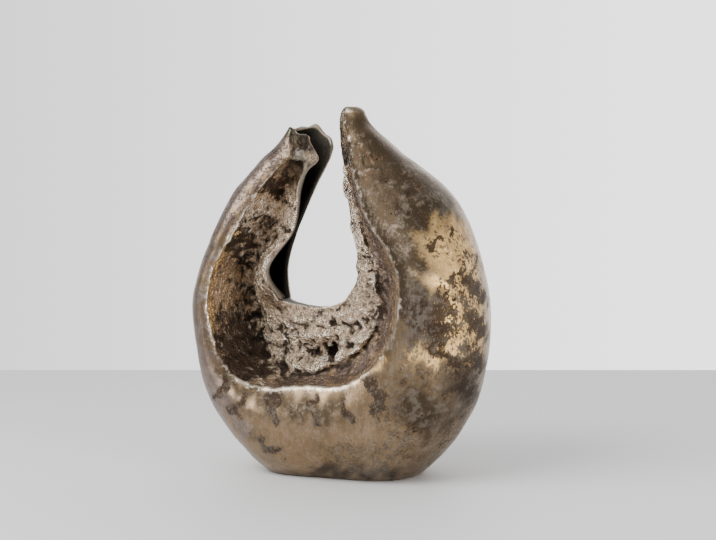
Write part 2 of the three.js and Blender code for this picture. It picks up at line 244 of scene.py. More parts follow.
def crust_mask(spots):
    """1 on the crust and 0 off it, with a narrow step between."""
    border = drawn(CRUST_BORDER)
    reach = distance_to_line(spots, np.vstack([border, border[:1]]))
    reach = np.where(is_inside(spots, border), reach, -reach)
    x, z = spots[..., 0] / WIDTH * 100, spots[..., 1] / HEIGHT * 100
    fade = smooth(x, *CRUST_LEFT) * (1 - smooth(z, *CRUST_TOP) * (1 - smooth(x, *CRUST_CORNER)))
    return fade * smooth(reach, -CRUST_STEP / 2, CRUST_STEP / 2)


def lumps(spots):
    """Lumps of a hand-pressed surface, between -1 and 1."""
    total = 0
    for i, length in enumerate(LUMP_LENGTHS):
        turn = i * LUMP_TURN
        along = spots[..., 0] * math.cos(turn) + spots[..., 1] * math.sin(turn)
        across = spots[..., 1] * math.cos(turn) - spots[..., 0] * math.sin(turn)
        wave = np.sin(along / length * math.pi + turn)
        total = total + wave * np.cos(across / length * math.pi * LUMP_STRETCH)
    return total / math.sqrt(len(LUMP_LENGTHS))


def relief(spots):
    """How far the carving stands out of the front."""
    carved = crust_mask(spots) * (CRUST_RISE + CRUST_LUMP * lumps(spots))
    for *line, width, fold_height in FOLDS.values():
        carved = carved + fold_height * (1 - smooth(distance_to_line(spots, drawn(line)), 0, width))
    return carved


pit_bottom = relief(drawn([FOLDS["deep pit"][1]]))[0]
print("bottom of the deep pit in mm:", round(float(pit_bottom) * 1000, 1))

# %% [markdown]
# A section has four runs: the front wall from the lip to the outline, the back wall, the rim
# at the eye and the dish, the recess between the eye and the lip. The walls and the dish are
# Bezier curves. They are divided into even steps, so that the mesh has the same fineness
# everywhere. STEPS says how many columns each run takes, in their order round the section.

# %% Curves
CURVE_STEPS = 160
STEPS = dict(front_wall=58, back_wall=44, back_edge=3, hollow=40, front_edge=3, dish=96)


def bezier(a, b, c, d, steps=CURVE_STEPS):
    """Cubic curves, one for every row of four control points."""
    t = np.linspace(0, 1, steps + 1)[None, :, None]
    a, b, c, d = (p[:, None, :] for p in (a, b, c, d))
    return a * (1 - t) ** 3 + 3 * b * t * (1 - t) ** 2 + 3 * c * t ** 2 * (1 - t) + d * t ** 3


def even_steps(run, steps):
    """One run of points divided again into even steps along its length."""
    lengths = np.linalg.norm(np.diff(run, axis=0), axis=1)
    way = np.concatenate([[0], np.cumsum(lengths)])
    even = np.linspace(0, way[-1], steps + 1)
    return np.stack([np.interp(even, way, run[:, i]) for i in range(run.shape[1])], axis=1)


def to_the_left(run):
    """Unit vectors to the left of a run's direction, at each of its points."""
    along = np.gradient(run, axis=-2)
    along /= np.maximum(np.linalg.norm(along, axis=-1, keepdims=True), 1e-9)
    return np.stack([-along[..., 1], along[..., 0]], axis=-1)


print("points in a section:", sum(STEPS.values()))

# %% [markdown]
# The sections at all places are worked out together, one row of the mesh for each place. The
# walls bow out by the bellies of their rib. The front wall and the dish are carved, and the
# carving fades out towards their ends and where the section is short.

# %% Sections
FRONT_BOW = dict(start=0.45, first=1.12, last=0.62)
BACK_BOW = dict(first=0.95, share=0.42, last=1.35)
DISH_FADE = (1 / 16, 3 / 16)
WALL_FADE = (2 / 9, 3 / 9)


class Sections:
    """The sections at many places along the ribs: x along the chord from the eye, and y."""

    def __init__(self, places):
        self.places = places
        self.eye = in_front_view("eye", places)
        self.way = in_front_view("outline", places) - self.eye
        self.length = np.linalg.norm(self.way, axis=1)
        depths = rail([(*rib["belly"], rib["rim"]) for rib in RIBS], places) * DEPTH / 100
        front_belly, back_belly, rim_y = depths.T
        lip, deep, front = (self.point(name) for name in ("lip", "dish", "front"))
        lip_share = lip[:, 0] / self.length
        start = lip_share + (1 - lip_share) * FRONT_BOW["start"]
        outer = self.at(1, 0)
        self.back = self.at(0, rim_y)

        wall = bezier(lip, self.at(start, front_belly * FRONT_BOW["first"]),
                      self.at(1, front_belly * FRONT_BOW["last"]), outer)
        self.front_wall = wall - to_the_left(wall) * self.carving(wall, WALL_FADE)[..., None]
        self.back_wall = bezier(outer, self.at(1, back_belly * BACK_BOW["first"]),
                                self.at(BACK_BOW["share"], back_belly * BACK_BOW["last"]), self.back)
        self.plain_dish = bezier(front, deep, deep, lip)
        self.dish = self.plain_dish.copy()
        self.dish[..., 1] -= self.carving(self.plain_dish, DISH_FADE)

    def at(self, share, y):
        return np.stack([share * self.length, y + 0 * self.length], axis=1)

    def point(self, name):
        return in_section(name, self.places) * np.stack([self.length, 1 + 0 * self.length], axis=1)

    def spots(self, run):
        """The front-view spots [x, z] of a run's points."""
        shares = run[..., 0] / self.length[:, None]
        return self.eye[:, None] + shares[..., None] * self.way[:, None]

    def carving(self, run, fade):
        depth = smooth(np.linalg.norm(run[:, 0] - run[:, -1], axis=1), 0, FULL_CARVING)
        t = np.linspace(0, 1, run.shape[1])
        share = smooth(t, 0, fade[0]) * smooth(1 - t, 0, fade[1])
        return depth[:, None] * share[None] * relief(self.spots(run))


tenth = Sections(np.array([9.0]))
print("tenth rib, from the eye to the outline in mm:", round(float(tenth.length[0]) * 1000, 1))

# %% [markdown]
# The left arm is an open shell: the casting's wall is one thickness all round, and its hollow
# shows through the slit at the eye and at the cut end. The inner surface is the outer one moved
# inwards by the wall, without the points that would come nearer than a wall to another side.

# %% Hollow of the left arm
HOLLOW_END = 6.1
HOLLOW_TAPER = 1.2
HOLLOW_CAP_ROWS = 5
WALL_TOLERANCE = 0.93
HOLLOW_SMOOTHING = 6
BY_THE_LIP = slice(2, 12, 4)
BACK_MOUTH = (0.05, 0.45)
FRONT_MOUTH = (0.55, 0.95)
WIDEST_EDGE = 0.25


def hollow_run(sections, row):
    """The inner line of one section, from the back of the slit round to its front."""
    place = sections.places[row]
    back, front = sections.back[row], sections.dish[row][0]
    shell = np.vstack([sections.front_wall[row], sections.back_wall[row][1:]])[::2]
    sheet = np.vstack([sections.plain_dish[row], sections.front_wall[row][BY_THE_LIP]])[::2]
    wall = WALL * (1 + float(smooth(place, HOLLOW_END - HOLLOW_TAPER, HOLLOW_END)))
    sheet_spots = sections.eye[row] + sheet[:, :1] / sections.length[row] * sections.way[row]
    crease = np.maximum(0, -relief(sheet_spots))[:, None]

    def clear(points):
        near = np.minimum(distance_to_line(points, shell), distance_to_line(points, sheet))
        return points[near > wall * WALL_TOLERANCE]

    def mouth(point, nearest, furthest):
        """Where the hollow opens in the rim, level with a point."""
        share = np.clip((point[1] - back[1]) / (front[1] - back[1]), nearest, furthest)
        return back + (front - back) * share

    under_sheet = clear(sheet + to_the_left(sheet) * (wall + crease))
    under_shell = clear(shell + to_the_left(shell) * wall)
    tip = (under_sheet[-1] + under_shell[0]) / 2
    line = [mouth(under_shell[-1], *BACK_MOUTH), *under_shell[::-1][:-1], tip,
            *under_sheet[::-1][1:], mouth(under_sheet[0], *FRONT_MOUTH)]
    return even_steps(np.array(line), STEPS["hollow"])


def inner_lines(sections):
    """The hollow's line for every section. Past its end it shrinks to a line across the rim."""
    lines = np.empty((len(sections.places), STEPS["hollow"] + 1, 2))
    across = np.linspace(0, 1, STEPS["hollow"] + 1)[:, None]
    half = STEPS["hollow"] / 2
    last_hollow = np.searchsorted(sections.places, HOLLOW_END) - 1
    for row in range(last_hollow + 1):
        lines[row] = hollow_run(sections, row)
    for _ in range(HOLLOW_SMOOTHING):
        part = lines[:last_hollow + 1]
        part[1:-1] = (part[:-2] + 2 * part[1:-1] + part[2:]) / 4
    for row in range(last_hollow + 1, len(lines)):
        kept = int(half * (1 - (row - last_hollow) / HOLLOW_CAP_ROWS))
        if kept < 2:
            back, front = sections.back[row], sections.dish[row][0]
            edge = min(WIDEST_EDGE, WALL / np.linalg.norm(front - back))
            lines[row] = back + (front - back) * (edge + across * (1 - 2 * edge))
        else:
            ends = np.vstack([lines[last_hollow][:kept], lines[last_hollow][-kept:]])
            lines[row] = even_steps(ends, STEPS["hollow"])
    return lines


print("hollow ends at place", HOLLOW_END, "of", LAST)

# %% [markdown]
# The sections are stood up in their places, row after row. At the cut end the back wall rises
# in a ragged arch, as a sprue leaves it when it is broken off. The horn on the right closes in
# a round tip. Rows are spaced evenly along the lip, which is the line the eye follows.

# %% Rows of the loft
ROW_PITCH = 0.00185
FINE_PLACES = 60
TIP_ROWS = 9
TIP_RISE = 0.0079
END_ARCH = 0.008
END_RAGGED = 0.0012
END_NOTCHES = 2
ARCH_REACH = 1.2
ARCH_DEPTH = 0.018


def even_places():
    """Places along the ribs about one pitch apart on the lip."""
    fine = np.linspace(0, LAST, FINE_PLACES * LAST + 1)
    eye = in_front_view("eye", fine)
    way = in_front_view("outline", fine) - eye
    lip = in_section("lip", fine)
    line = np.column_stack([eye + way * lip[:, :1], lip[:, 1]])
    along = np.concatenate([[0], np.cumsum(np.linalg.norm(np.diff(line, axis=0), axis=1))])
    return np.interp(np.linspace(0, along[-1], int(along[-1] / ROW_PITCH)), along, fine)


def stand(sections, run):
    """Stands a run of every section up in its place."""
    shares = run[..., 0] / sections.length[:, None]
    spots = sections.spots(run)
    turn = np.clip(shares, 0, 1) * math.pi
    arch = END_ARCH * np.sin(turn) + END_RAGGED * np.sin(turn * 2 * END_NOTCHES)
    near_end = np.maximum(0, 1 - sections.places / ARCH_REACH)[:, None] ** 2
    lift = near_end * arch * smooth(run[..., 1], 0, ARCH_DEPTH)
    upwards = np.stack([sections.way[:, 1], -sections.way[:, 0]], axis=1) / sections.length[:, None]
    spots = spots + upwards[:, None] * lift[..., None]
    return np.stack([spots[..., 0], run[..., 1], spots[..., 1]], axis=-1)


sections = Sections(even_places())
inner = inner_lines(sections)
runs = {
    name: np.array([even_steps(run, STEPS[name]) for run in getattr(sections, name)])
    for name in ("front_wall", "back_wall", "dish")
}
between = np.linspace(0, 1, STEPS["back_edge"] + 1)[None, :, None]
runs["hollow"] = inner
runs["back_edge"] = sections.back[:, None] * (1 - between) + inner[:, :1] * between
runs["front_edge"] = inner[:, -1:] * (1 - between) + runs["dish"][:, :1] * between
grid = np.concatenate([stand(sections, runs[name][:, :-1]) for name in STEPS], axis=1)
run_of_column = np.repeat(list(STEPS), list(STEPS.values()))
print("loft:", grid.shape[0], "rows of", grid.shape[1], "points")

# %% [markdown]
# The loft's two ends are closed. The right horn shrinks to a point over a quarter circle. The
# left horn was sawn off, so its edge shows the wall: extra rows round it, a little ragged. The
# seat is the casting ground flat at z = 0.

# %% Ends and seat
EDGE_TURNS = np.radians([25, 50, 72])
EDGE_RAGGED = 0.0010
EDGE_WAVES = 430
BELOW_THE_CUT = 8


def rounded_edge(first, outwards):
    """Rows that round the sawn edge: every point nears the middle of its wall."""
    hollow = run_of_column == "hollow"
    middle = np.empty_like(first)
    for i, point in enumerate(first):
        facing = first[hollow != hollow[i]]
        middle[i] = (point + facing[np.argmin(np.linalg.norm(facing - point, axis=1))]) / 2
    ragged = EDGE_RAGGED * np.sin(middle @ (EDGE_WAVES, EDGE_WAVES / 2, EDGE_WAVES / 3))
    rows = [
        first + (middle - first) * (1 - math.cos(turn))
        + outwards * ((WALL / 2 + ragged) * math.sin(turn))[:, None]
        for turn in EDGE_TURNS
    ]
    return np.array(rows[::-1])


def horn_tip(last):
    middle = last.mean(axis=0)
    turns = np.arange(1, TIP_ROWS) / TIP_ROWS * math.pi / 2
    rise = np.outer(TIP_RISE * np.sin(turns), (0, 0, 1))
    rows = middle + (last - middle) * np.cos(turns)[:, None, None] + rise[:, None]
    return rows, middle + (0, 0, TIP_RISE)


outwards = grid[0].mean(axis=0) - grid[BELOW_THE_CUT].mean(axis=0)
outwards /= np.linalg.norm(outwards)
tip_rows, tip_point = horn_tip(grid[-1])
grid = np.concatenate([rounded_edge(grid[0], outwards), grid, tip_rows])
row_count, column_count = grid.shape[:2]
points = np.vstack([grid.reshape(-1, 3), tip_point])
points[:, 2] = np.maximum(points[:, 2], 0)
print("points:", len(points), "of them on the seat:", int((points[:, 2] == 0).sum()))

# %% [markdown]
# Four-sided faces join every row to the next, and a fan of triangles closes the tip of the
# right horn. Across the sawn edge, a strip of triangles zips the outer line to the inner one.

# %% Faces
def zip_faces(one, other, points):
    """Triangles between two chains of points, always across the shorter gap."""
    faces, i, j = [], 0, 0
    while i + 1 < len(one) or j + 1 < len(other):
        ahead_one = ahead_other = np.inf
        if i + 1 < len(one):
            ahead_one = np.linalg.norm(points[one[i + 1]] - points[other[j]])
        if j + 1 < len(other):
            ahead_other = np.linalg.norm(points[one[i]] - points[other[j + 1]])
        if ahead_one <= ahead_other:
            faces.append((one[i], one[i + 1], other[j]))
            i += 1
        else:
            faces.append((one[i], other[j + 1], other[j]))
            j += 1
    return faces


numbers = np.arange(column_count)
row_starts = np.arange(row_count - 1)[:, None] * column_count
here = row_starts + numbers
right = row_starts + (numbers + 1) % column_count
faces = np.stack([here, right, right + column_count, here + column_count], axis=-1)
faces = faces.reshape(-1, 4).tolist()
last_row = (row_count - 1) * column_count
tip = len(points) - 1
faces += [(last_row + i, last_row + (i + 1) % column_count, tip) for i in range(column_count)]

columns = {name: numbers[run_of_column == name].tolist() for name in STEPS}
outer_chain = [*columns["dish"], *columns["front_wall"], *columns["back_wall"],
               *columns["back_edge"][:2]]
inner_chain = [*columns["front_edge"][::-1], *columns["hollow"][::-1],
               *columns["back_edge"][:1:-1]]
faces += zip_faces(outer_chain, inner_chain, points)
print("faces:", len(faces))

# %% [markdown]
# The patina and the grain of a casting belong to places, and so do the painted shade, painted
# reflection and painted highlights that stand in for light: a bowl in painted shade, a flank
# with a painted golden highlight, a pitted shoulder. They are drawn as strokes on the front
# view, like make-up. A stroke is a line in percentages of the width and the height, and then
# how far it fades out, in metres. These are the strokes on the outer walls.

# %% Strokes on the walls
ON_WALL = {
    # shade: painted shade in dark olive dusk, on the upper right, along the right edge, low on the
    # right, at the foot and under the lip.
    "shade": [
        ((5, 98), (12, 89), (24, 78), (36, 72), 0.085), ((20, 74), (28, 60), (30, 54), 0.062),
        ((33, 24), (35, 18), 0.030), ((47, 62), (50, 48), (49, 34), (45, 20), 0.030),
        ((-2, 3), (22, 3), 0.010), ((-16, 22), (-4, 20), (8, 21), 0.018),
        ((-34, 28), (-27, 24), (-18, 22), 0.016),
    ],
    "crust": [],
    # dark: patches of dark patina and thin cracks; the last stroke, along the right edge, is painted
    # shade.
    "dark": [
        ((33, 47), (36, 46), (39.5, 47), 0.030), ((36, 43), (39, 42), 0.022),
        ((19.8, 27), (21.3, 22), 0.013), ((24, 76), (27, 73), 0.006),
        ((36, 64), (39, 66), 0.005), ((43, 57), (44, 54), 0.004),
        ((-12.5, 8), (-18, 9), 0.008), ((10, 22), (12, 20), 0.006),
        ((-1, 23), (0.3, 15.5), 0.0050), ((-18, 23.5), (-14, 19), (-12.6, 16.5), 0.0050),
        ((-27, 21), (-29, 18), 0.009), ((-33, 25), (-36, 22), 0.009),
        ((40, 38), (43, 33), 0.010), ((48, 60), (50, 46), (49, 32), (45, 19), 0.017),
    ],
    "mottle": [
        ((34, 27), (35, 20), (31, 14), 0.036), ((41, 27), (41, 14), 0.024),
        ((30, 36), (36, 34), 0.018), ((38, 67), (42, 62), 0.012),
        ((18, 79), (24, 74), 0.014), ((44, 46), (45, 40), 0.010),
        ((-14, 7), (-22, 12), 0.007), ((6, 84), (8, 78), 0.014), ((5, 8), (22, 8), 0.016),
        ((30, 50), (38, 42), 0.026), ((-22, 88), (-33, 77), (-43, 64), 0.020),
    ],
    # painted highlight: the golden band down the right flank.
    "gold": [
        ((40, 65), (43, 60), (44, 55), 0.028), ((43, 58), (44.5, 50), (45.5, 44), (46, 37), 0.022),
        ((32, 36), (38, 35), 0.010), ((14, 30), (20, 34), 0.008),
    ],
    # painted reflection of the pale backdrop, grey-mauve, on the left flank, at its foot and along the
    # top of the left arm.
    "mauve": [
        ((-52, 60), (-49, 47), (-46, 36), (-41, 26), (-36, 18), 0.028),
        ((-33, 20), (-27, 13), 0.014),
        ((-17, 93), (-24, 87), (-33, 78), (-43, 66), (-50, 56), 0.026),
    ],
    "pitted": [
        ((33, 27), (35, 20), (31, 14), 0.034), ((38, 66), (45, 55), 0.024),
        ((20, 80), (27, 73), 0.022), ((8, 88), (14, 83), 0.018),
        ((43, 50), (45, 40), 0.014), ((33, 45), (38, 47), 0.014), ((0, 93), (2, 84), 0.012),
    ],
}
print("strokes on the walls:", sum(len(strokes) for strokes in ON_WALL.values()))

# %% [markdown]
# The recess has strokes of its own: painted shade in the bowl on the left, in the deep pit,
# in the pocket under the left horn and in the groove of the left arm, the crust where it
# spreads over the left arm, and golden flecks near the lip.

# %% Strokes in the recess
ON_DISH = {
    # shade: painted shade on the cheek of the left horn.
    "shade": [((-11, 92), (-13, 86), (-14, 81), 0.020)],
    "crust": [
        ((-28, 39), (-25, 35), (-22, 31), 0.034),
        ((-16, 72), (-20, 66), (-24, 58), (-28, 50), 0.022),
        ((-29, 62), (-32, 54), (-31, 46), 0.014), ((-27, 74), (-31, 67), 0.010),
    ],
    # dark: mostly painted shade, in the bowl, the deep pit and its hook, the pocket under the left horn
    # and the groove of the left arm.
    "dark": [
        ((-36, 40), (-34, 31), (-28, 26), 0.022), ((-20, 80), (-23, 77.5), 0.010),
        ((-31, 68), (-34, 63), (-36, 56), 0.007), ((-11.4, 32.4), (-3, 32.2), 0.007),
        ((-2.6, 32), (-1.4, 36.2), 0.004), ((14, 44), (15, 52), 0.008),
        ((-23, 37.5), (-19.6, 35), (-18, 31), 0.004), ((-9, 93), (-12, 87), 0.010),
    ],
    "mottle": [
        ((-27, 70), (-30, 62), (-34, 50), (-35, 42), 0.012), ((-24, 31), (-16, 26), 0.009),
        ((-12, 90), (-14, 84), 0.020), ((0, 36), (12, 40), (13, 56), 0.012),
    ],
    # golden flecks near the left lip.
    "gold": [
        ((-38, 59), (-39.6, 53), 0.020), ((-40.2, 47), (-40, 42), 0.018),
        ((-34, 67), (-36, 63), 0.010),
    ],
    # grey-mauve oxide in the smooth band on the right, and painted shade on the shelf above the lower
    # lip.
    "mauve": [
        ((4, 88), (9, 72), (14, 60), (17.5, 50), (16, 38), 0.020),
        ((16, 38), (8, 30), (-3, 26), (-16, 25), 0.012), ((-17, 40), (-16, 37), 0.005),
        ((-9, 43), (-8, 41), 0.007), ((7, 42), (8, 40), 0.006),
    ],
    "pitted": [
        ((-20, 72), (-26, 62), (-31, 53), (-33, 45), 0.034), ((-14, 88), (-12, 84), 0.018),
    ],
}
print("strokes in the recess:", sum(len(strokes) for strokes in ON_DISH.values()))

# %% [markdown]
# Strokes that followed the front view exactly would leave straight stripes on the sides, where
# the form turns away. So every point is first moved a little by waves in space, whose lengths
# never line up, and the paint of the walls fades out towards the back.

# %% Painting on the mesh
WOBBLE = 0.0040
WOBBLE_LENGTH = 0.009
FRONT_FADE = 0.030


def wobble(points):
    """A small shift of every point, sideways and upwards in the front view."""
    x, y, z = points.T / WOBBLE_LENGTH
    across = np.sin(1.9 * z + np.sin(1.3 * x) + 0.7 * y) + 0.6 * np.sin(4.3 * z + 2.7 * x - 1.9 * y)
    upwards = np.sin(2.3 * x + np.sin(1.1 * z) + 1.7 * y) + 0.6 * np.sin(5.1 * x - 2.2 * z + 2.9 * y)
    return WOBBLE * np.stack([across, upwards], axis=1)


def painted(spots, strokes):
    """The strongest of some strokes at every spot, each fading out over its width."""
    strongest = np.zeros(len(spots))
    for *line, width in strokes:
        away = distance_to_line(spots, drawn(line))
        strongest = np.maximum(strongest, 1 - np.clip(away / width, 0, 1))
    return strongest


def points_of(*names):
    """Which points of the mesh lie in some runs. The tip counts with the first column."""
    of_column = np.isin(run_of_column, names)
    return np.append(np.tile(of_column, row_count), of_column[0])


spots = points[:, [0, 2]]
on_dish = points_of("dish")
on_wall = points_of("front_wall", "back_wall")
shift = wobble(points)
facing = smooth(2 * shift[:, 0] - points[:, 1], -FRONT_FADE, FRONT_FADE)
finish = {}
for name in ON_WALL:
    wall_paint = painted(spots + shift, ON_WALL[name]) * facing * on_wall
    finish[name] = np.where(on_dish, painted(spots + shift, ON_DISH[name]), wall_paint)
print("painted share:", {name: round(float(paint.mean()), 3) for name, paint in finish.items()})

# %% [markdown]
# The other masks follow from the form. In the dish, gold and painted highlight keep near the
# lip, and a near-black band runs along the back of the rim and round the sawn end. The grain
# is coarse on the crust. Wear and painted highlight say how much hands and polish reach and
# where the cream painted highlight lies: the crust's tops and the lip most. The faces of the
# slit and the sawn end are left mottled brown. Free is 0 at the seat, which keeps it flat.

# %% Masks from the form
DARKENED_RIM_WIDTH = 0.009
LIP_WIDTH = 0.0028
LIP_WEAR_AND_HIGHLIGHT = 0.0045
DISH_GOLD_REACH = 0.009
SEAT_FADE = 0.004
GRAIN = dict(dish=0.34, dish_pits=0.75, wall=0.05, wall_pits=0.25)
WEAR_AND_HIGHLIGHT = dict(dish=0.25, crust=0.75, wall=0.10, lip=0.5)
CUT_FACES = dict(crust=1, mottle=0.7, rub=0.3, green=0.25)


def distance_from(part, tip_distance):
    """Every point's distance from a part of the grid, and the one given for the tip."""
    return np.append(np.linalg.norm(grid - part, axis=2).ravel(), tip_distance)


def close_to(distance, width):
    """1 on a line, and next to nothing at twice the width from it."""
    return np.exp(-(distance / width) ** 2)


on_skin = on_dish | on_wall
back_column = STEPS["front_wall"] + STEPS["back_wall"]
lip_distance = distance_from(grid[:, :1], 0)
back_distance = distance_from(grid[:, back_column:back_column + 1], 1)
end_distance = distance_from(grid[:1], 1)
pitted = finish["pitted"]
finish["gold"] *= np.where(on_dish, close_to(lip_distance, DISH_GOLD_REACH), 1)
# a near-black band along the back of the rim and round the sawn end.
finish["green"] = close_to(np.minimum(back_distance, end_distance), DARKENED_RIM_WIDTH)
finish["crust"] = np.maximum(finish["crust"], on_dish * crust_mask(spots))
dish_grain = np.maximum(np.maximum(finish["crust"], GRAIN["dish_pits"] * pitted), GRAIN["dish"])
finish["grain"] = np.where(on_dish, dish_grain, GRAIN["wall"] + GRAIN["wall_pits"] * pitted)
finish["lip"] = close_to(lip_distance, LIP_WIDTH) * on_skin
# wear and a cream painted highlight: strongest on the crust and along the lip.
dish_wear_and_highlight = WEAR_AND_HIGHLIGHT["dish"] + WEAR_AND_HIGHLIGHT["crust"] * finish["crust"]
wall_wear_and_highlight = WEAR_AND_HIGHLIGHT["wall"] + WEAR_AND_HIGHLIGHT["lip"] * close_to(lip_distance, LIP_WEAR_AND_HIGHLIGHT)
finish["rub"] = np.where(on_dish, dish_wear_and_highlight, wall_wear_and_highlight) * on_skin * (1 - finish["green"])

on_cut = points_of("back_edge", "front_edge")
cut_rows = (len(EDGE_TURNS) + 1) * column_count
on_cut[:cut_rows] |= ~on_skin[:cut_rows]
for name, value in CUT_FACES.items():
    finish[name] = np.where(on_cut, value, finish[name])
finish["free"] = smooth(points[:, 2], 0, SEAT_FADE)
finish["wall"] = on_wall.astype(float)
finish["dish"] = on_dish.astype(float)
finish["inside"] = 1 - finish["wall"] - finish["dish"]
print("masks:", list(finish))

# %% [markdown]
# The bare mesh carries every mask as an attribute, which both the Geometry Nodes and the
# materials read. It is closed like the solid, so it must have a volume and no open edge.

# %% Bare mesh
mesh = bpy.data.meshes.new("casting")
mesh.from_pydata((points - np.array(MIDDLE)).tolist(), [], faces)
for name, values in finish.items():
    attribute = mesh.attributes.new(name, "FLOAT", "POINT")
    attribute.data.foreach_set("value", values.astype(np.float32))
loft = bmesh.new()
loft.from_mesh(mesh)
bmesh.ops.remove_doubles(loft, verts=loft.verts, dist=1e-6)
bmesh.ops.recalc_face_normals(loft, faces=loft.faces)
loft.to_mesh(mesh)
open_edges = sum(1 for edge in loft.edges if not edge.is_manifold)
print("volume in litres:", round(loft.calc_volume() * 1000, 3), "open edges:", open_edges)
loft.free()

# %% [markdown]
# Node trees, of geometry and of shaders, are easier to read as sums than as wires. This small
# helper adds one node at a time and hands back the output that the next one needs. A second
# helper begins a tree with its named inputs and outputs.

# %% Node shorthand
class Nodes:
    """A node tree in the making."""

    def __init__(self, tree):
        self.tree = tree

    def add(self, kind, inputs=(), output=0, **settings):
        node = self.tree.nodes.new(kind)
        for name, value in settings.items():
            setattr(node, name, value)
        self.feed(node, inputs)
        return node.outputs[output]

    def feed(self, node, inputs):
        for name, value in dict(inputs).items():
            if isinstance(value, bpy.types.NodeSocket):
                self.tree.links.new(value, node.inputs[name])
            else:
                node.inputs[name].default_value = value

    def group(self, tree, inputs):
        """Places a group of nodes and gives all its outputs."""
        node = self.tree.nodes.new("ShaderNodeGroup")
        node.node_tree = tree
        self.feed(node, inputs)
        return node.outputs

    def math(self, operation, *values, clamp=False):
        return self.add("ShaderNodeMath", enumerate(values), operation=operation, use_clamp=clamp)

    def total(self, first, *others):
        for other in others:
            first = self.math("ADD", first, other)
        return first

    def times(self, first, *others):
        for other in others:
            first = self.math("MULTIPLY", first, other)
        return first

    def scaled(self, value, factor, base, clamp=False):
        """The value times a factor, added to a base."""
        return self.math("MULTIPLY_ADD", value, factor, base, clamp=clamp)

    def centred(self, value):
        """A pattern from 0 to 1, moved down to lie round 0."""
        return self.math("SUBTRACT", value, 0.5)

    def step(self, value, low, high):
        """0 below low and 1 above high, with a smooth change between."""
        return self.add("ShaderNodeMapRange", {"Value": value, "From Min": low, "From Max": high},
                        interpolation_type="SMOOTHSTEP")

    def mix(self, share, first, second):
        """A blend of two colours."""
        return self.add("ShaderNodeMix", {0: share, 6: first, 7: second}, 2, data_type="RGBA")

    def noise(self, place, size, detail=2.0, roughness=0.5, distortion=0.0):
        size = size if isinstance(size, bpy.types.NodeSocket) else float(size)
        scale = self.math("DIVIDE", 1.0, size)
        return self.add("ShaderNodeTexNoise", {
            "Vector": place, "Scale": scale, "Detail": detail, "Roughness": roughness,
            "Distortion": distortion})

    def stretched(self, place, stretch):
        """The place squeezed along the axes, so that a pattern read there is drawn out."""
        return self.add("ShaderNodeVectorMath", {0: place, 1: stretch}, operation="MULTIPLY")


def new_tree(kind, name, inputs, outputs):
    """A node tree with named sockets. Gives its shorthand, its inputs and its outputs."""
    tree = bpy.data.node_groups.new(name, kind)
    for in_out, sockets in (("INPUT", inputs), ("OUTPUT", outputs)):
        for socket, holds in sockets.items():
            tree.interface.new_socket(socket, in_out=in_out, socket_type="NodeSocket" + holds)
    given = tree.nodes.new("NodeGroupInput").outputs
    result = tree.nodes.new("NodeGroupOutput").inputs
    return Nodes(tree), given, result


print("shorthand:", [name for name in vars(Nodes) if not name.startswith("_")])

# %% [markdown]
# The skin of a casting is never as smooth as its wax. Geometry Nodes give the mesh what a
# light from the side would show: the lumpy grain of the crust, the gas pits that the metal left,
# soft hammer and file facets on the walls, and a proud, worn bead along the lip. Everything is
# one distance along the normal, so the loft keeps its form.

# %% Sizes of the skin
SKIN_SIZES = {
    "Grain Size": 0.0125, "Grain Height": 0.0054,
    "Pit Size": 0.0056, "Pit Depth": 0.0011,
    "Hammer Size": 0.024, "Hammer Height": 0.0016,
    "Lip Height": 0.0015, "Seed": 7.0,
}
GRAIN_GAIN = 2.2
PIT_RIM = (0.08, 0.42)
PIT_SPREAD = 2.5
PIT_CLUSTERS = (0.48, 0.58)
BEAD_SIZE = 0.0075
BEAD_GAIN = 2.6
BEAD_LOW = -0.95
print("sizes of the skin:", SKIN_SIZES)

# %% [markdown]
# Grain and hammer marks are noise that swings both ways. A pit is the middle of a cell of a
# Voronoi pattern, kept only in clusters. Each is multiplied by the mask of its place.

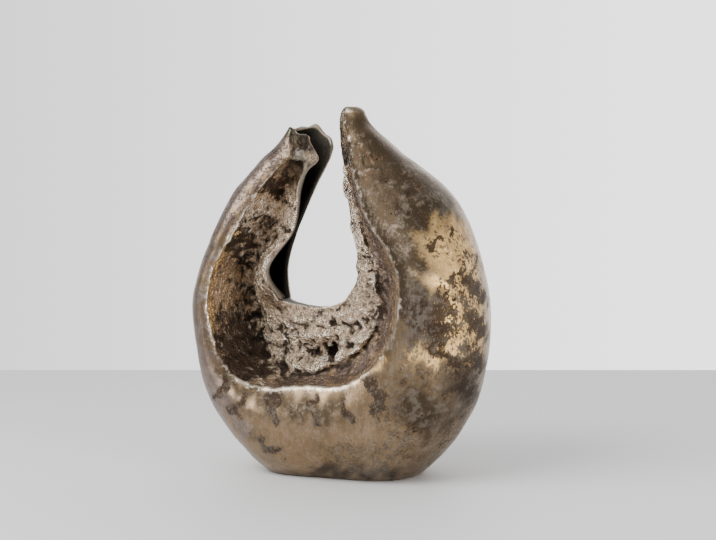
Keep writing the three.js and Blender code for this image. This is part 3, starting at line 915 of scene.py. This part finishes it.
# %% Casting skin
def skin_tree(materials):
    """The casting's skin as Geometry Nodes, with its sizes as inputs."""
    nodes, given, result = new_tree(
        "GeometryNodeTree", "casting skin",
        {"Geometry": "Geometry", **dict.fromkeys(SKIN_SIZES, "Float")}, {"Geometry": "Geometry"})

    def attribute(name):
        return nodes.add("GeometryNodeInputNamedAttribute", {"Name": name}, "Attribute")

    shift = nodes.add("ShaderNodeCombineXYZ", {"X": given["Seed"], "Y": given["Seed"]})
    place = nodes.add("ShaderNodeVectorMath", {0: nodes.add("GeometryNodeInputPosition"), 1: shift})
    grain = nodes.noise(place, given["Grain Size"], detail=2.4, roughness=0.52, distortion=0.7)
    grain_height = nodes.times(given["Grain Height"], GRAIN_GAIN)
    grain = nodes.times(nodes.centred(grain), grain_height, attribute("grain"))

    pit_scale = nodes.math("DIVIDE", 1.0, given["Pit Size"])
    cells = nodes.add("ShaderNodeTexVoronoi", {"Vector": place, "Scale": pit_scale}, "Distance")
    pits = nodes.math("SUBTRACT", 1.0, nodes.step(cells, *PIT_RIM))
    clusters = nodes.noise(place, nodes.times(given["Pit Size"], PIT_SPREAD))
    pits = nodes.times(pits, nodes.step(clusters, *PIT_CLUSTERS), attribute("pitted"))
    pits = nodes.times(pits, nodes.times(given["Pit Depth"], -1.0))

    hammer = nodes.noise(place, given["Hammer Size"], detail=1.0, roughness=0.4)
    hammer = nodes.times(nodes.centred(hammer), given["Hammer Height"])

    bead = nodes.noise(place, BEAD_SIZE, detail=3.0)
    bead = nodes.scaled(bead, BEAD_GAIN, BEAD_LOW)
    bead = nodes.times(bead, nodes.times(given["Lip Height"], attribute("lip")))

    height = nodes.times(nodes.total(grain, pits, hammer, bead), attribute("free"))
    normal = nodes.add("GeometryNodeInputNormal")
    offset = nodes.add("ShaderNodeVectorMath", {0: normal, "Scale": height}, operation="SCALE")
    skin = nodes.add("GeometryNodeSetPosition", {"Geometry": given["Geometry"], "Offset": offset})
    skin = nodes.add("GeometryNodeSetMaterial", {"Geometry": skin, "Material": materials["wall"]})
    for name in ("dish", "inside"):
        chosen = nodes.math("GREATER_THAN", attribute(name), 0.5)
        skin = nodes.add("GeometryNodeSetMaterial", {
            "Geometry": skin, "Selection": chosen, "Material": materials[name]})
    skin = nodes.add("GeometryNodeRealizeInstances", {"Geometry": skin})
    nodes.tree.links.new(skin, result["Geometry"])
    return nodes.tree


# %% [markdown]
# Bronze gets its colours from its patina and from painted light: brown where it was left alone,
# grey-mauve for oxide in the grooves, for a painted reflection of the backdrop on the flanks and
# for painted shade on the shelf, dusk for painted shade, nearly black for dark patina and painted
# shade in the hollows, gold mostly for a painted highlight, and cream where it is worn and where
# a painted highlight catches it. COATS says how strongly each colour covers what lies under it.
# RAGGED says how much noise breaks up the edge of a mask, and the values between which it then
# rises. Patina is never a clean shape.

# %% Bronze colours
BRONZE = {
    "olive": (0.108, 0.076, 0.043, 1), "tan": (0.245, 0.165, 0.094, 1),
    "gold": (1.000, 0.640, 0.265, 1), "mauve": (0.185, 0.145, 0.130, 1),
    "umber": (0.040, 0.024, 0.015, 1), "soot": (0.012, 0.008, 0.005, 1),
    "rust": (0.190, 0.085, 0.045, 1), "cream": (1.000, 0.900, 0.740, 1),
    "sand": (0.880, 0.700, 0.530, 1), "verdigris": (0.050, 0.047, 0.033, 1),
    "brown": (0.520, 0.360, 0.225, 1), "dusk": (0.040, 0.028, 0.016, 1),
}
COATS = dict(dusk=0.88, gold=0.85, mauve=0.80, verdigris=0.90,
             rust=0.75, umber=0.95, soot=0.92, cream=0.95)
RAGGED = {
    "Shade": (0.28, 0.0, 0.9), "Gold": (0.4, 0.0, 0.85), "Mauve": (1.4, 0.10, 0.75),
    "Green": (1.6, 0.12, 0.50), "Mottle": (2.0, 0.15, 0.55), "Dark": (1.8, 0.20, 0.58),
}
print("colours:", list(BRONZE))

# %% [markdown]
# Three noise patterns, broad, middle and fine, break everything up. Olive streaks run down the
# form. Specks and mottling are dots that show where the middle and the fine pattern are both
# high. A step says between which values something grows from nothing to full.

# %% Patterns of the patina
PATTERNS = dict(
    broad=dict(size=0.030, detail=3.0, roughness=0.6),
    middle=dict(size=0.0062, detail=3.0, roughness=0.65, distortion=0.3),
    fine=dict(size=0.0024, detail=2.0, roughness=0.7),
)
STREAKS = dict(size=0.0040, detail=3.0, roughness=0.6)
STREAK_STRETCH = (1, 1, 0.12)
OLIVE_MIX = dict(streaks=0.7, middle=0.3)
OLIVE_STEP = (0.80, 1.20)
SPECKS = dict(middle=(0.54, 0.62), fine=(0.40, 0.54))
MOTTLING = dict(middle=(0.36, 0.56), fine=(0.44, 0.54))
MOTTLE_DARKNESS = 0.85
SUNK_STEP = (0.10, 1.0)
WORN_AND_HIGHLIT_STEP = (0.15, 0.95)
WORN_AND_HIGHLIT_RAGGED = (2.0, 1.6)
RAGGED_SHARES = (0.8, 0.9)
MASK_HOLD = 8.0
SHADE_DULLS = 0.6
WORN_AND_HIGHLIT_POLISH = 0.6
print("patterns:", list(PATTERNS))

# %% [markdown]
# One node group lays the coats over the ground: olive streaks, the masks drawn as strokes, among
# them painted shade, painted reflection and painted highlight, rusty specks and dark mottling,
# then near-black patina and painted shade in whatever lies low, and worn metal with a cream
# painted highlight on whatever stands proud. It also says how dull each spot is: patina dulls
# the metal that it covers, and so does the painted shade.

# %% Patina group
AMOUNTS = ("Shade", "Dark", "Mottle", "Gold", "Mauve", "Green", "Specks", "Ridge",
           "Blotches", "Rub")


def patina_group():
    nodes, given, result = new_tree(
        "ShaderNodeTree", "patina",
        {"Place": "Vector", "Ground": "Color", **dict.fromkeys(AMOUNTS, "Float")},
        {"Color": "Color", "Dull": "Float"})
    place = given["Place"]
    broad, middle, fine = (nodes.noise(place, **pattern) for pattern in PATTERNS.values())
    streaks = nodes.noise(nodes.stretched(place, STREAK_STRETCH), **STREAKS)

    def roughened(mask, by_middle, by_fine):
        """A mask moved up and down by the middle and the fine pattern."""
        mask = nodes.scaled(nodes.centred(middle), by_middle, mask)
        return nodes.scaled(nodes.centred(fine), by_fine, mask)

    def broken(name):
        """A painted mask with a ragged edge, and nothing where nothing is painted."""
        ragged, low, high = RAGGED[name]
        rough = roughened(given[name], *(ragged * share for share in RAGGED_SHARES))
        held = nodes.math("MULTIPLY", given[name], MASK_HOLD, clamp=True)
        return nodes.times(nodes.step(rough, low, high), held)

    def dotted(dots):
        """Small dots, where both patterns are high."""
        return nodes.times(nodes.step(middle, *dots["middle"]), nodes.step(fine, *dots["fine"]))

    def coat(color, share, paint):
        return nodes.mix(nodes.times(share, COATS[paint]), color, BRONZE[paint])

    olive = nodes.scaled(middle, OLIVE_MIX["middle"], broad)
    olive = nodes.scaled(streaks, OLIVE_MIX["streaks"], olive)
    olive = nodes.times(nodes.step(olive, *OLIVE_STEP), given["Blotches"])
    color = nodes.mix(olive, given["Ground"], BRONZE["olive"])
    # painted shade: the shade mask darkens the colour towards dusk.
    shaded = broken("Shade")
    color = coat(color, shaded, "dusk")
    # painted highlight: gold, mostly on the right flank.
    color = coat(color, broken("Gold"), "gold")
    # grey-mauve oxide, painted reflection and painted shade.
    color = coat(color, broken("Mauve"), "mauve")
    # the near-black band at the back of the rim and the sawn end.
    color = coat(color, broken("Green"), "verdigris")
    color = coat(color, nodes.times(dotted(SPECKS), given["Specks"]), "rust")
    mottled = nodes.times(dotted(MOTTLING), broken("Mottle"), MOTTLE_DARKNESS)
    dark = nodes.math("MAXIMUM", broken("Dark"), mottled)
    color = coat(color, dark, "umber")
    # near-black patina and painted shade in whatever lies below its surroundings.
    sunk = nodes.step(nodes.times(given["Ridge"], -1.0), *SUNK_STEP)
    color = coat(color, sunk, "soot")
    # wear and a cream painted highlight on whatever stands proud.
    rubbed = nodes.step(roughened(given["Ridge"], *WORN_AND_HIGHLIT_RAGGED), *WORN_AND_HIGHLIT_STEP)
    rubbed = nodes.times(rubbed, given["Rub"])
    color = coat(color, rubbed, "cream")
    dull = nodes.math("MAXIMUM", nodes.math("MAXIMUM", dark, sunk), nodes.times(shaded, SHADE_DULLS))
    dull = nodes.math("SUBTRACT", dull, nodes.times(rubbed, WORN_AND_HIGHLIT_POLISH))
    nodes.tree.links.new(color, result["Color"])
    nodes.tree.links.new(dull, result["Dull"])
    return nodes.tree


patina = patina_group()
print("patina nodes:", len(patina.nodes))

# %% [markdown]
# The finest marks are too small for the mesh: the brush strokes of the polish, the sand grain
# of the mould and pin-sized pits. They are one height for a Bump node, in a group that all
# three finishes share with values of their own.

# %% Fine marks group
BRUSH_STRETCH = (1, 1, 0.07)
BRUSH_SIZE = 0.0012
PIN_PIT_SIZE = 0.0046
PIN_PIT_RIM = (0.10, 0.24)
PIN_PIT_SPREAD = 0.011
PIN_PIT_CLUSTERS = (0.55, 0.62)


def marks_group():
    nodes, given, result = new_tree(
        "ShaderNodeTree", "fine marks",
        {"Place": "Vector", "Grain Size": "Float", "Grain": "Float", "Brush": "Float", "Pits": "Float"},
        {"Height": "Float", "Pin Pits": "Float"})
    place = given["Place"]
    grain = nodes.noise(place, given["Grain Size"], detail=3.0, roughness=0.65, distortion=0.2)
    grain = nodes.times(nodes.centred(grain), given["Grain"])
    brush = nodes.noise(nodes.stretched(place, BRUSH_STRETCH), BRUSH_SIZE, detail=2.0, roughness=0.6)
    brush = nodes.times(nodes.centred(brush), given["Brush"])
    cells = {"Vector": place, "Scale": 1 / PIN_PIT_SIZE}
    cells = nodes.add("ShaderNodeTexVoronoi", cells, "Distance")
    holes = nodes.math("SUBTRACT", 1.0, nodes.step(cells, *PIN_PIT_RIM))
    clusters = nodes.noise(place, PIN_PIT_SPREAD, detail=1.0)
    holes = nodes.times(holes, nodes.step(clusters, *PIN_PIT_CLUSTERS), given["Pits"])
    nodes.tree.links.new(holes, result["Pin Pits"])
    height = nodes.math("SUBTRACT", nodes.total(grain, brush), holes)
    nodes.tree.links.new(height, result["Height"])
    return nodes.tree


marks = marks_group()
print("fine marks nodes:", len(marks.nodes))

# %% [markdown]
# Three finishes share the two groups. The walls are brushed and rather smooth, the dish with
# its crust is rough and sparkles, and the hollow is near black, which is painted shade.

# %% Bronze finishes
FINISHES = {
    "wall": dict(grounds=("tan", "tan"), specks=0.5, grain=0.25, grain_size=0.0022, brush=0.55,
                 pits=1.0, relief=1.0, metallic=0.92, roughness=0.35, dull=0.32, bump=0.0006),
    "dish": dict(grounds=("brown", "sand"), specks=0.4, grain=1.0, grain_size=0.0028, brush=0.15,
                 pits=0.3, relief=2.5, metallic=0.90, roughness=0.27, dull=0.20, bump=0.0050),
    # the hollow's near-black ground is painted shade.
    "inside": dict(grounds=("soot", "tan"), specks=0.3, grain=0.8, grain_size=0.0020, brush=0.0,
                   pits=0.2, relief=0.0, metallic=0.60, roughness=0.60, dull=0.20, bump=0.0008),
}
GRAIN_EVERYWHERE = 0.15
BLOTCHES = dict(ground=0.50, crust=-0.25)
UNEVEN_SIZE = 0.004
UNEVEN_POLISH = 0.16
METAL_LOST = -0.10
MASKS = ("Shade", "Mottle", "Gold", "Mauve", "Green", "Rub")


def bronze(name, grounds, specks, grain, grain_size, brush, pits, relief,
           metallic, roughness, dull, bump):
    """The material of one finish."""
    material = bpy.data.materials.new("bronze " + name)
    material.use_nodes = True
    nodes = Nodes(material.node_tree)
    shader = material.node_tree.nodes["Principled BSDF"]

    def mask(attribute):
        return nodes.add("ShaderNodeAttribute", output="Fac", attribute_name=attribute)

    def link(value, socket):
        material.node_tree.links.new(value, shader.inputs[socket])

    place = nodes.add("ShaderNodeTexCoord", output="Object")
    fine = nodes.group(marks, {
        "Place": place, "Grain Size": grain_size, "Brush": brush,
        "Grain": nodes.times(nodes.math("ADD", mask("grain"), GRAIN_EVERYWHERE), grain),
        "Pits": nodes.times(mask("pitted"), pits)})
    skin = nodes.group(patina, {
        "Place": place, "Specks": specks, **{name: mask(name.lower()) for name in MASKS},
        "Ground": nodes.mix(mask("crust"), *(BRONZE[paint] for paint in grounds)),
        "Ridge": nodes.scaled(fine["Height"], relief, mask("ridge")),
        "Dark": nodes.math("MAXIMUM", mask("dark"), fine["Pin Pits"]),
        "Blotches": nodes.scaled(mask("crust"), BLOTCHES["crust"], BLOTCHES["ground"])})
    uneven = nodes.scaled(nodes.noise(place, UNEVEN_SIZE), UNEVEN_POLISH, roughness - UNEVEN_POLISH / 2)
    link(skin["Color"], "Base Color")
    link(nodes.scaled(skin["Dull"], dull, uneven), "Roughness")
    link(nodes.scaled(skin["Dull"], METAL_LOST, metallic, clamp=True), "Metallic")
    link(nodes.add("ShaderNodeBump", {"Height": fine["Height"], "Distance": bump}), "Normal")
    return material


finishes = {name: bronze(name, **values) for name, values in FINISHES.items()}
print("finishes:", [material.name for material in finishes.values()])

# %% [markdown]
# How far each point stands above or below its surroundings says where hands, polish and a
# painted highlight reach, and where dark patina and painted shade lie. The surroundings are
# the mesh itself, smoothed round after round.

# %% Ridges and hollows
RIDGE_ROUNDS = 22
RIDGE_UNIT = 0.0009


def all_points(data, name="co", width=3):
    values = np.empty(len(data) * width)
    data.foreach_get(name, values)
    return values.reshape(-1, width) if width > 1 else values


def ridge_heights(data):
    """How far every point stands above its smoothed surroundings, in units of RIDGE_UNIT."""
    where = all_points(data.vertices)
    ends = all_points(data.edges, "vertices", 2).astype(int)
    count = np.bincount(ends.ravel(), minlength=len(where))[:, None]
    even = where.copy()
    for _ in range(RIDGE_ROUNDS):
        total = np.zeros_like(even)
        for axis in range(3):
            total[:, axis] = np.bincount(ends[:, 0], even[ends[:, 1], axis], len(where))
            total[:, axis] += np.bincount(ends[:, 1], even[ends[:, 0], axis], len(where))
        even = (even + total / count) / 2
    outwards = all_points(data.vertices, "normal")
    return ((where - even) * outwards).sum(axis=1) / RIDGE_UNIT


print("rounds of smoothing:", RIDGE_ROUNDS)

# %% [markdown]
# The skin is put on the loft and turned into a plain mesh, which is held inside the solid's
# box. The heights of its ridges are its last attribute.

# %% Skin on the loft
loft_object = new_object("loft", mesh)
skin = skin_tree(finishes)
modifier = loft_object.modifiers.new("skin", "NODES")
modifier.node_group = skin
for socket in skin.interface.items_tree:
    if socket.in_out == "INPUT" and socket.name in SKIN_SIZES:
        modifier[socket.identifier] = SKIN_SIZES[socket.name]
evaluated = loft_object.evaluated_get(bpy.context.evaluated_depsgraph_get())
casting = bpy.data.meshes.new_from_object(evaluated)
bpy.data.objects.remove(loft_object)

where = np.clip(all_points(casting.vertices), cad_low, cad_high)
casting.vertices.foreach_set("co", where.ravel())
casting.update()
ridge = casting.attributes.new("ridge", "FLOAT", "POINT")
heights = ridge_heights(casting)
ridge.data.foreach_set("value", heights.astype(np.float32))
casting.shade_smooth()
sculpture = new_object("bronze_casting", casting)
casting.calc_loop_triangles()
print("triangles:", len(casting.loop_triangles), "materials:", [m.name for m in casting.materials])
print("ridges from", heights.min().round(2), "to", heights.max().round(2))

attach(sculpture, "root")
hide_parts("sculpture")

# %% [markdown]
# The stage is a plain pale table top. It lies square to the camera, and its far edge makes the
# horizon.

# %% Table
TABLE_BEHIND = 0.645
TABLE_REACH = 3.0
TABLE_COLOR = (0.74, 0.74, 0.74, 1)
TABLE_ROUGHNESS = 0.55

corners = [(-TABLE_REACH, -TABLE_REACH), (TABLE_REACH, -TABLE_REACH),
           (TABLE_REACH, TABLE_BEHIND), (-TABLE_REACH, TABLE_BEHIND)]
cos, sin = math.cos(heading), math.sin(heading)
corners = [(x * cos - y * sin, x * sin + y * cos, 0) for x, y in corners]
table_mesh = bpy.data.meshes.new("table")
table_mesh.from_pydata(corners, [], [(0, 1, 2, 3)])
table = new_object("table", table_mesh)
table_material = bpy.data.materials.new("pale table")
table_material.use_nodes = True
table_shader = table_material.node_tree.nodes["Principled BSDF"]
table_shader.inputs["Base Color"].default_value = TABLE_COLOR
table_shader.inputs["Roughness"].default_value = TABLE_ROUGHNESS
table_mesh.materials.append(table_material)
print("table's far edge:", TABLE_BEHIND, "m behind the middle")

# %% [markdown]
# Everything beyond the table is the world's light. It is brightest ahead of the camera, more so
# on the right, and dimmer on the camera's own side, so that the bronze has something dark to
# reflect as well.

# %% World
WORLD_BASE = 0.45
AHEAD = (0.3, 0.95, 1.0)
ON_THE_RIGHT = (-0.35, 0.35, 1.45)
RIGHT_BASE = 0.85
ABOVE = (0.4, 0.9, 0.25)

world = bpy.data.worlds.new("studio")
world.use_nodes = True
bpy.context.scene.world = world
nodes = Nodes(world.node_tree)
way = nodes.add("ShaderNodeTexCoord", output="Generated")


def towards(azimuth, elevation):
    """A direction in the world from the camera's own azimuth: 0 is straight ahead of it."""
    turn = azimuth - heading
    flat = math.cos(elevation)
    return (math.sin(turn) * flat, math.cos(turn) * flat, math.sin(elevation))


def glow(direction, low, high, strength):
    """Light from the part of the world round a direction."""
    inputs = {0: way, 1: direction}
    facing = nodes.add("ShaderNodeVectorMath", inputs, "Value", operation="DOT_PRODUCT")
    return nodes.times(nodes.step(facing, low, high), strength)


to_the_right = nodes.math("ADD", glow(towards(math.radians(90), 0), *ON_THE_RIGHT), RIGHT_BASE)
ahead_light = nodes.times(glow(towards(0, 0), *AHEAD), to_the_right)
light = nodes.total(WORLD_BASE, ahead_light, glow((0, 0, 1), *ABOVE))
grey = nodes.add("ShaderNodeCombineColor", dict.fromkeys(range(3), light))
world.node_tree.links.new(grey, world.node_tree.nodes["Background"].inputs["Color"])
print("world nodes:", len(world.node_tree.nodes))

# %% [markdown]
# Two soft lights do the rest. A wide one in front, above and to the left draws the bright line
# along the lip and throws a faint shadow. A narrower one on the right puts the gold band on the
# right flank.

# %% Lights
LIGHTS = {
    "key": dict(place=(-0.78, -1.15, 1.28), size=(1.3, 1.1), power=44),
    "right strip": dict(place=(1.3, -0.55, 0.30), size=(0.30, 0.5), power=10),
}
for name, values in LIGHTS.items():
    data = bpy.data.lights.new(name, "AREA")
    data.shape = "RECTANGLE"
    data.size, data.size_y = values["size"]
    data.energy = values["power"]
    lamp = new_object(name, data)
    lamp.location = Vector(values["place"])
    aim = Vector((0, 0, HEIGHT / 2)) - lamp.location
    lamp.rotation_euler = aim.to_track_quat("-Z", "Y").to_euler()
print("lights:", list(LIGHTS))

# %% [markdown]
# The finished piece is held inside the solid's box, which was printed when the solid was loaded.
# The finished piece must fill the same box as the solid that stands in for it in the tests.
